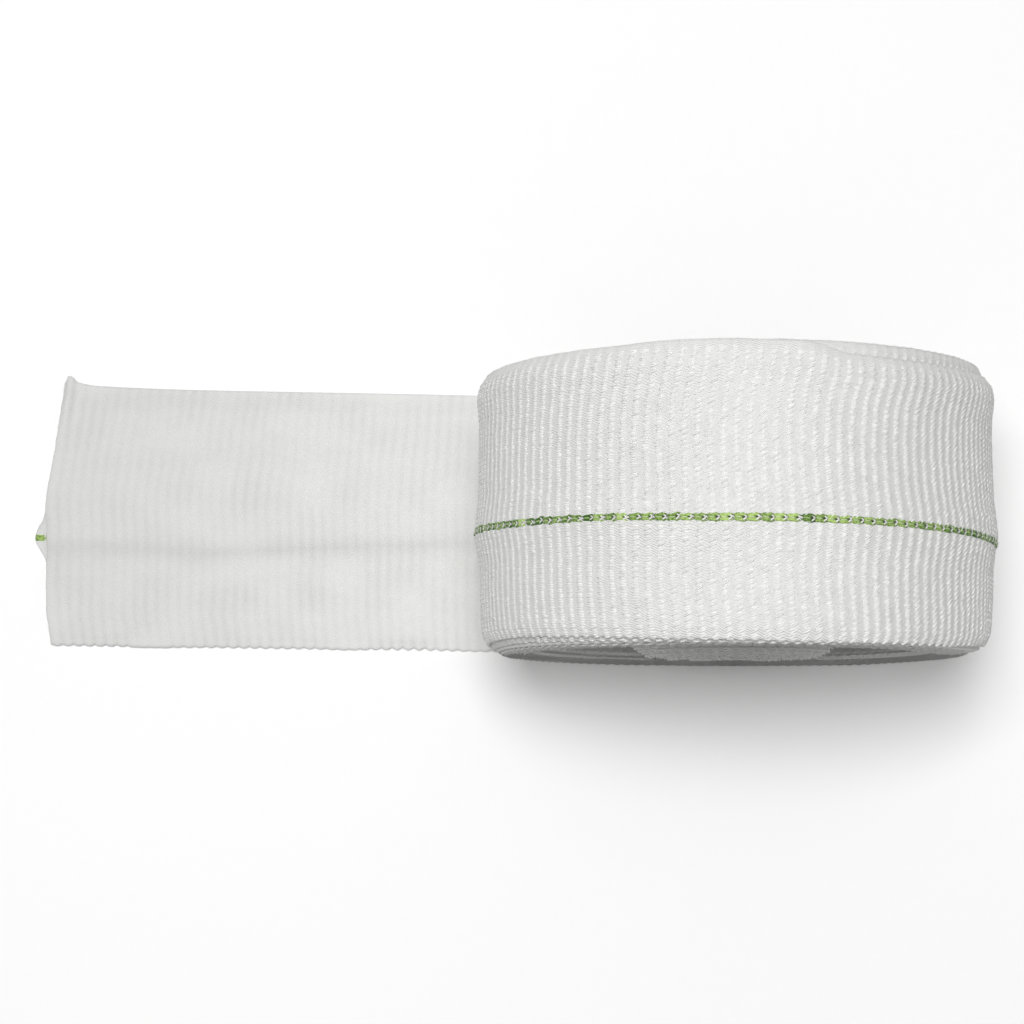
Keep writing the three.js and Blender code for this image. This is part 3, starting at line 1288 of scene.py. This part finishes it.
@dataclass
class MarkerChain:
    """The marker line: a chain of links along one wale of the outermost turn.

    A jitter is how far the links differ: in millimetres, but for the shares of their width and tone and
    the degrees of their turn. Where the roll's flank slopes away from the light, painted shade darkens them
    by painted_flank_shade.
    """

    turn: Turn
    yarns: MarkerYarns
    link: MarkerLink = MarkerLink()
    relief_share: float = 0.6
    stand: float = 0.04
    tone: float = 0.32
    painted_flank_shade: float = 0.49
    flank_from: float = 0.2
    flank_to: float = 0.75
    along_jitter: float = 0.07
    beside_jitter: float = 0.08
    turn_jitter: float = 4.0
    stand_jitter: float = 0.02
    tone_jitter: float = 0.2
    seed: int = 31

    def build(self) -> bpy.types.Object:
        """Lays a link on every rib.

        Returns:
            The piece.
        """
        knit = self.turn.winding.knit
        loops = self.link.spread("marker_chain", 1, self.turn.ribs)
        jitter = np.random.default_rng(self.seed).normal(0, 1, (self.turn.ribs, 4))[loops.rib].T
        along = loops.local[:, 0] + self.along_jitter * jitter[0]
        aslant = along * math.radians(self.turn_jitter) * jitter[2]
        beside = loops.local[:, 1] * (1 + self.beside_jitter * jitter[1]) + aslant
        share = np.clip((loops.rib + 0.5 + along / knit.rib_pitch) / self.turn.ribs, 0, 1)
        arc = self.turn.wale_arc(share, np.zeros(1)) + beside
        relief = self.turn.relief(share, arc)[1] * self.relief_share
        height = loops.local[:, 2] + self.stand + self.stand_jitter * jitter[3]
        # Painted shade: the links darken down the roll's flanks, where the cloth turns away from the light.
        flank = ease(np.abs(np.sin(self.turn.angle(share))), self.flank_from, self.flank_to)
        tone = self.tone - self.painted_flank_shade * flank + self.tone_jitter * jitter[0]
        set_attribute(loops.mesh, "tone", tone)
        set_places(loops.mesh, self.turn.lay(share, arc, height + relief))
        return new_piece("marker_chain", loops.mesh, self.yarns, Slot.MARKER)


@dataclass
class LooseEnd:
    """The free end of the tube: two layers, open at the scissor cut, laid out on the floor.

    Each shade field is the share of painted shade that greys the cloth towards its valley colour, and a
    reach or width is in millimetres, but for cut_end_shade_reach, which is a share of the way from the cut
    to the roll.
    """

    winding: Winding
    finish: bpy.types.Material
    yarns: MarkerYarns
    section: Section = Section(24.4, 0.6, 0.6)
    points: PointCounts = PointCounts(31, 8, 5, 30)
    layer_thickness: float = 0.42
    least_hollow: float = 0.05
    clear_of_floor: float = 0.04
    middle: float = 2.0
    skew: float = 0.0096
    root_x: float = -7.05
    columns_per_rib: int = 6
    rib_depth: float = 0.15
    scallop: float = 0.5
    scallop_reach: float = 2.0
    half_ribs: float = 0.4
    mean_strength: float = 0.75
    least_strength: float = 0.15
    most_strength: float = 1.4
    valley_shade: float = 0.35
    cut_end_shade: float = 0.55
    cut_end_shade_reach: float = 0.75
    wall_share: float = 0.6
    crease_width: float = 0.6
    crease_shade: float = 0.33
    shade_offset: float = 0.6
    shade_width: float = 1.9
    rim_shade: float = 0.12
    rim_across: float = 21.8
    tongue_across: float = -4.0
    tongue_spread: float = 3.2
    tongue_length: float = 2.45
    cut_round: float = 0.1
    same_place: float = 0.001
    first_columns: tuple[float, ...] = (0.1, 0.4)
    flare_start: float = 14.0
    tail_root: float = -6.5
    tail_stretch: float = 1.9
    tail_lead: float = 0.36
    tail_tone: float = 0.3
    tail_link: Loop = Loop((
        StrandRow(5, 2.6, 0.6, 0.44, beside=0.38),
        StrandRow(5, 2.6, 0.6, 0.44, beside=-0.38),
        StrandRow(5, 3, 0.6, 0.46, along=0.2),
    ))
    swing: Swell = Swell(41, (4.0, 6.0), 0.06)
    wave: Swell = Swell(42, (5.0, 9.0), 0.045)
    billow: Swell = Swell(43, (13.0, 15.0), 0.07)
    patches: Swell = Swell(44, (3.0, 5.0), 0.35)
    raggedness: Swell = Swell(45, (0.9, 1.0), 0.05)
    tops: tuple[TopRow, ...] = (
        TopRow(-24.5, 1.1),
        TopRow(-21.5, 1.3),
        TopRow(-7, 1.2),
        TopRow(-4, 1.3),
        TopRow(-1.5, 1.2),
        TopRow(10, 1.25),
        TopRow(19, 1.15),
        TopRow(22, 1.0),
        TopRow(24.4, 1.4),
    )
    cuts: tuple[CutRow, ...] = (
        CutRow(-25, -127.5),
        CutRow(-17, -128.5),
        CutRow(-4, -128.6),
        CutRow(2, -129),
        CutRow(11, -127.8),
        CutRow(20, -126.5),
        CutRow(25, -125.8),
    )
    flares: tuple[FlareRow, ...] = (
        FlareRow(0, 1.3, 0),
        FlareRow(0.75, 2.45, 0.9),
        FlareRow(1.35, 2.45, 1.1),
        FlareRow(2.4, 1.45, 0.3),
        FlareRow(6.5, 0.75, 0),
        FlareRow(26, 0.2, 0),
        FlareRow(63, 0, 0),
        FlareRow(120, -0.4, 0),
    )
    creases: tuple[CreaseRow, ...] = (
        CreaseRow(-130, -2.0, 0),
        CreaseRow(-110, -2.4, 0.1),
        CreaseRow(-99, -3.0, 0.22),
        CreaseRow(-80, -2.1, 0.3),
        CreaseRow(-51, -1.05, 0.3),
        CreaseRow(-7, -0.6, 0.16),
    )
    dents: tuple[DentRow, ...] = (
        DentRow(-125.6, 22.5, 0.3, 1.6),
        DentRow(-127.4, 5.9, 0.25, 1.5),
        DentRow(-121, 23, 0.2, 2.5),
        DentRow(-104, -6, 0.12, 4.0),
    )

    @property
    def length(self) -> float:
        """How far the cloth reaches from the roll at the marker's wale."""
        return self.root_x - read_row(self.cuts, "cut", np.array([self.tongue_across]))[0]

    @property
    def ribs(self) -> int:
        """How many ribs lie on the floor."""
        return round(self.length / self.winding.knit.rib_pitch)

    def cut_at(self, across: Values, lower: Values) -> Values:
        """Where the cut lies, for each layer: the lower one runs out in a tongue.

        Args:
            across: Places across the tube.
            lower: How far each belongs to the lower layer, from 0 to 1.

        Returns:
            The cut's place along X.
        """
        tongue = bell((across - self.tongue_across) / self.tongue_spread)
        ragged = self.raggedness.at(across, lower)
        return read_row(self.cuts, "cut", across) - self.tongue_length * tongue * lower + ragged

    def lay(self, share: Values, across: Values, height: Values, lower: Values) -> Values:
        """Points of the free end.

        Args:
            share: From 0 at the cut to 1 under the roll.
            across: Places across the tube.
            height: Heights over the floor.
            lower: How far each point belongs to the lower layer, from 0 to 1.

        Returns:
            The points, in the frame.
        """
        cut = self.cut_at(across, lower)
        x = cut + share * (self.root_x - cut)
        flaring = ease(across, self.flare_start, self.winding.knit.tube_width / 2)
        flare = flaring * read_row(self.flares, "flare", x - cut)
        rise = flaring * read_row(self.flares, "rise", x - cut)
        y = self.middle - self.skew * x + across + flare
        return np.stack((x, y, np.maximum(height + rise, 0)), axis=-1)

    def relief(self, share: Values, arc: Values, across: Values) -> tuple[Values, Values, Values]:
        """How the ribs, the crease, the dents and the cloth's unevenness stand on the upper layer.

        Args:
            share: From 0 at the cut to 1 under the roll.
            arc: The way round the tube from the middle of its upper layer.
            across: Places across the tube.

        Returns:
            How deep each place lies in a valley, from 0 to about 1, how far it stands off the smooth layer
            but for its ribs, and how much painted shade greys the cloth beside the crease and inside its
            rim.
        """
        knit = self.winding.knit
        ribs = share * self.ribs
        strength = self.mean_strength + self.patches.at(ribs, arc)
        strength = np.clip(strength, self.least_strength, self.most_strength)
        phase = ribs + self.swing.at(ribs, arc)
        whole, half = [knit.valley(count * phase, knit.relaxed_sharpness) for count in (1, 2)]
        valley = (whole + self.half_ribs * half) / (1 + self.half_ribs) * strength
        x = self.root_x - (1 - share) * self.length
        y = self.middle - self.skew * x + across
        past_crease = y - read_row(self.creases, "across", x)
        soft = self.wave.at(ribs, arc) + self.billow.at(ribs, arc)
        soft = soft + read_row(self.creases, "height", x) * bell(past_crease / self.crease_width)
        for dent in self.dents:
            away = np.hypot(x - dent.along, y - dent.across) / dent.spread
            soft = soft - dent.depth * bell(away)
        # Painted shade: the upper layer greys on the crease's -Y side and in a band inside its +Y rim, where
        # the slopes turn from the light.
        crease_and_rim_shade = self.crease_shade * bell((past_crease + self.shade_offset) / self.shade_width)
        return valley, soft, crease_and_rim_shade + self.rim_shade * bell(across - self.rim_across)

    def skin(self, share: Values, arc: Values, inside: Values) -> tuple[Values, Values]:
        """Points on the outside of the tube, or on its inside wall.

        Args:
            share: From 0 at the cut to 1 under the roll.
            arc: The way round the tube from the middle of its upper layer.
            inside: How far each point lies inside the cloth's outside.

        Returns:
            The points, in the frame, and how much painted shade greys the cloth there.
        """
        across, turned = self.section.across(arc)
        limit = self.section.flat_half
        top = read_row(self.tops, "top", np.clip(across, -limit, limit))
        valley, soft, crease_and_rim_shade = self.relief(share, arc, across)
        lower = (1 - np.cos(turned)) / 2
        lowest = self.clear_of_floor + 2 * self.layer_thickness + self.least_hollow
        upper = np.maximum(top + soft, lowest) - np.where(inside > 0, inside, valley * self.rib_depth)
        level = (self.clear_of_floor + inside) * lower + upper * (1 - lower)
        scalloped = ease(-across, limit - self.scallop_reach, limit) * valley * self.scallop
        folded = scalloped - np.sin(turned) * np.sign(arc) * inside * self.wall_share
        # Painted shade: the cloth greys in its rib valleys, and more near the cut, fading out by
        # cut_end_shade_reach of the way to the roll.
        slack = self.cut_end_shade * (1 - ease(share, 0, self.cut_end_shade_reach))
        painted_shade = valley * self.valley_shade + slack + crease_and_rim_shade * (1 - lower)
        return self.lay(share, across + folded, level, lower), painted_shade

    def cloth(self) -> bpy.types.Object:
        """Lays one closed skin along the outside, round the cut and back along the inside.

        Returns:
            The piece.
        """
        arcs = self.section.arcs(self.points)
        outside = np.linspace(1, 0, self.ribs * self.columns_per_rib + 1)
        wall = np.array((0, *self.first_columns, *range(1, self.ribs + 1))) / self.ribs
        share = np.concatenate((outside, [-self.cut_round / self.length], wall, [1]))
        inside = np.concatenate((0 * outside, [0.5], np.ones(len(wall)), [0])) * self.layer_thickness
        ribbon = Ribbon(len(share) - 1, len(arcs) - 1)
        mesh = ribbon.mesh("loose_end_cloth", capped=False)
        steps = np.hypot(np.diff(share) * self.length, np.diff(inside))
        ribbon.lay_pattern(mesh, np.concatenate(([0], np.cumsum(steps))), arcs)
        counts = get_places(mesh)
        column = np.rint(counts[:, 0]).astype(int)
        arc = np.interp(counts[:, 1], np.arange(len(arcs)), arcs)
        places, painted_shade = self.skin(share[column], arc, inside[column])
        set_attribute(mesh, "painted_shade", painted_shade)
        set_places(mesh, places)
        with shaping(mesh) as bm:
            rims = [vert for vert in bm.verts if vert.is_boundary]
            bmesh.ops.remove_doubles(bm, verts=rims, dist=self.same_place * MM)
        piece = new_piece("loose_end_cloth", mesh, [self.finish], Slot.END)
        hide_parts("loose_end")
        self.length * MM
        return piece

    def tail(self) -> bpy.types.Object:
        """Lays the marker line's links in the lower layer, which show under the roll and on the tongue.

        Returns:
            The piece.
        """
        loops = self.tail_link.spread("marker_tail", 1, self.ribs)
        share = (loops.rib + self.tail_lead + loops.local[:, 0] / self.winding.knit.rib_pitch) / self.ribs
        middle = self.tongue_across + (self.tail_root - self.tongue_across) * share
        height = self.clear_of_floor + self.layer_thickness / 2 + loops.local[:, 2] * self.tail_stretch
        across = middle + loops.local[:, 1]
        set_attribute(loops.mesh, "tone", np.full(len(share), self.tail_tone))
        set_places(loops.mesh, self.lay(np.clip(share, 0, 1), across, height, np.ones(len(share))))
        return new_piece("marker_tail", loops.mesh, [self.yarns.green], Slot.MARKER)


class LampRow(NamedTuple):
    """One square soft lamp: its name, place, width and power."""

    name: str
    place: Place
    size: float
    power: float


@dataclass(frozen=True)
class Studio:
    """A white floor, soft light from above and the camera over the roll."""

    camera_place: Place = (-39.43, -46.92, 532.0)
    camera_yaw: float = -0.0096
    camera_tilt: float = 0.0967
    camera_roll: float = 0.0137
    focal_length: float = 97.03
    sensor_width: float = 36.0
    clip: tuple[float, float] = (0.05, 10.0)
    floor_half: float = 1500.0
    floor_cells: int = 4
    sky: float = 0.36
    lamp_aim: Place = (-40.0, 0.0, 30.0)
    lamps: tuple[LampRow, ...] = (
        LampRow("key_lamp", (-85.0, 80.0, 900.0), 260.0, 5.4),
        LampRow("fill_lamp", (-20.0, 160.0, 1000.0), 500.0, 0.8),
    )

    def floor(self) -> None:
        """Lays the floor."""
        mesh = bpy.data.meshes.new("studio_floor")
        cells = self.floor_cells
        with shaping(mesh) as bm:
            bmesh.ops.create_grid(bm, x_segments=cells, y_segments=cells, size=self.floor_half * MM)
        mesh.materials.append(FloorFinish().make())
        put_in_scene("studio_floor", mesh)

    def lamp(self, row: LampRow) -> None:
        """Hangs a lamp that points at the roll.

        Args:
            row: The lamp.
        """
        light = bpy.data.lights.new(row.name, "AREA")
        light.size = row.size * MM
        light.energy = row.power
        lamp = put_in_scene(row.name, light)
        lamp.location = Vector(row.place) * MM
        aim = Vector(self.lamp_aim) * MM - lamp.location
        lamp.rotation_euler = aim.to_track_quat("-Z", "Y").to_euler()

    def camera(self) -> None:
        """Sets the camera where the photograph was taken from."""
        lens = bpy.data.cameras.new("photo_camera")
        lens.lens = self.focal_length
        lens.sensor_width = self.sensor_width
        lens.clip_start, lens.clip_end = self.clip
        camera = put_in_scene("photo_camera", lens)
        turn = Matrix.Rotation(self.camera_yaw, 4, "Z") @ Matrix.Rotation(self.camera_tilt, 4, "X")
        turn = turn @ Matrix.Rotation(self.camera_roll, 4, "Z")
        camera.matrix_world = Matrix.Translation(Vector(self.camera_place) * MM) @ turn
        bpy.context.scene.camera = camera

    def build(self) -> None:
        """Sets up the whole studio."""
        self.camera()
        self.floor()
        for row in self.lamps:
            self.lamp(row)
        world = bpy.data.worlds.new("studio_air")
        world.use_nodes = True
        air = world.node_tree.nodes["Background"].inputs
        air["Color"].default_value = (1, 1, 1, 1)
        air["Strength"].default_value = self.sky
        bpy.context.scene.world = world
        bpy.context.scene.view_settings.view_transform = "Standard"
        log.info("studio: camera, floor and %d lamps", len(self.lamps))


def main() -> None:
    """Builds the studio and dresses the roll."""
    logging.basicConfig(level=logging.INFO, format="%(name)s %(message)s")
    Studio().build()
    winding = Winding()
    outermost = Turn(winding, TurnName.OUTERMOST, before=0, ribs=132, lifts=OUTERMOST_LIFTS)
    below = Turn(winding, TurnName.BELOW, before=1, ribs=129, lifts=BELOW_LIFTS)
    roll_cotton = CottonFinish("Knitted_cotton").make()
    end_cotton = CottonFinish("Relaxed_cotton", (0.79, 0.79, 0.775, 1), strand_depth=0.04).make()
    green = YarnFinish(
        "Green_yarn", light=(0.45, 0.62, 0.19, 1), dark=(0.04, 0.12, 0.01, 1), own_tone=0.3, patch_scale=3.0
    )
    cotton = YarnFinish("Cotton_yarn", light=(0.88, 0.88, 0.865, 1), dark=(0.72, 0.72, 0.705, 1))
    loop_cotton = cotton.make()
    pale = YarnFinish("Pale_green_yarn", light=(0.6, 0.68, 0.42, 1), dark=(0.34, 0.48, 0.18, 1))
    # The dark strand's finish: painted shade in the marker's gaps.
    gap_shade_yarn = YarnFinish("Gap_shade_green_yarn", light=(0.06, 0.11, 0.02, 1), dark=(0.03, 0.06, 0.01, 1))
    yarns = MarkerYarns(green.make(), pale.make(), loop_cotton, gap_shade_yarn.make())
    outer_points = PointCounts(middle=31, rim=7, fold=5, lower=8)
    turn = RibbedTurn(outermost, roll_cotton, "outer_turn", outer_points).build()
    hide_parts("wound_roll")
    second_points = PointCounts(middle=6, rim=8, fold=4, lower=5)
    RibbedTurn(below, roll_cotton, "second_turn", second_points).build()
    Stitches(outermost, loop_cotton, "roll_stitches", wales=tuple(range(-23, 36))).build()
    edges = (*range(-25, -19), *range(28, 38))
    Stitches(below, loop_cotton, "edge_stitches", wales=edges).build()
    InnerTurns(winding, roll_cotton).build()
    MarkerChain(outermost, yarns).build()
    end = LooseEnd(winding, end_cotton, yarns)
    end.cloth()
    end.tail()


if __name__ == "__main__":
    main()
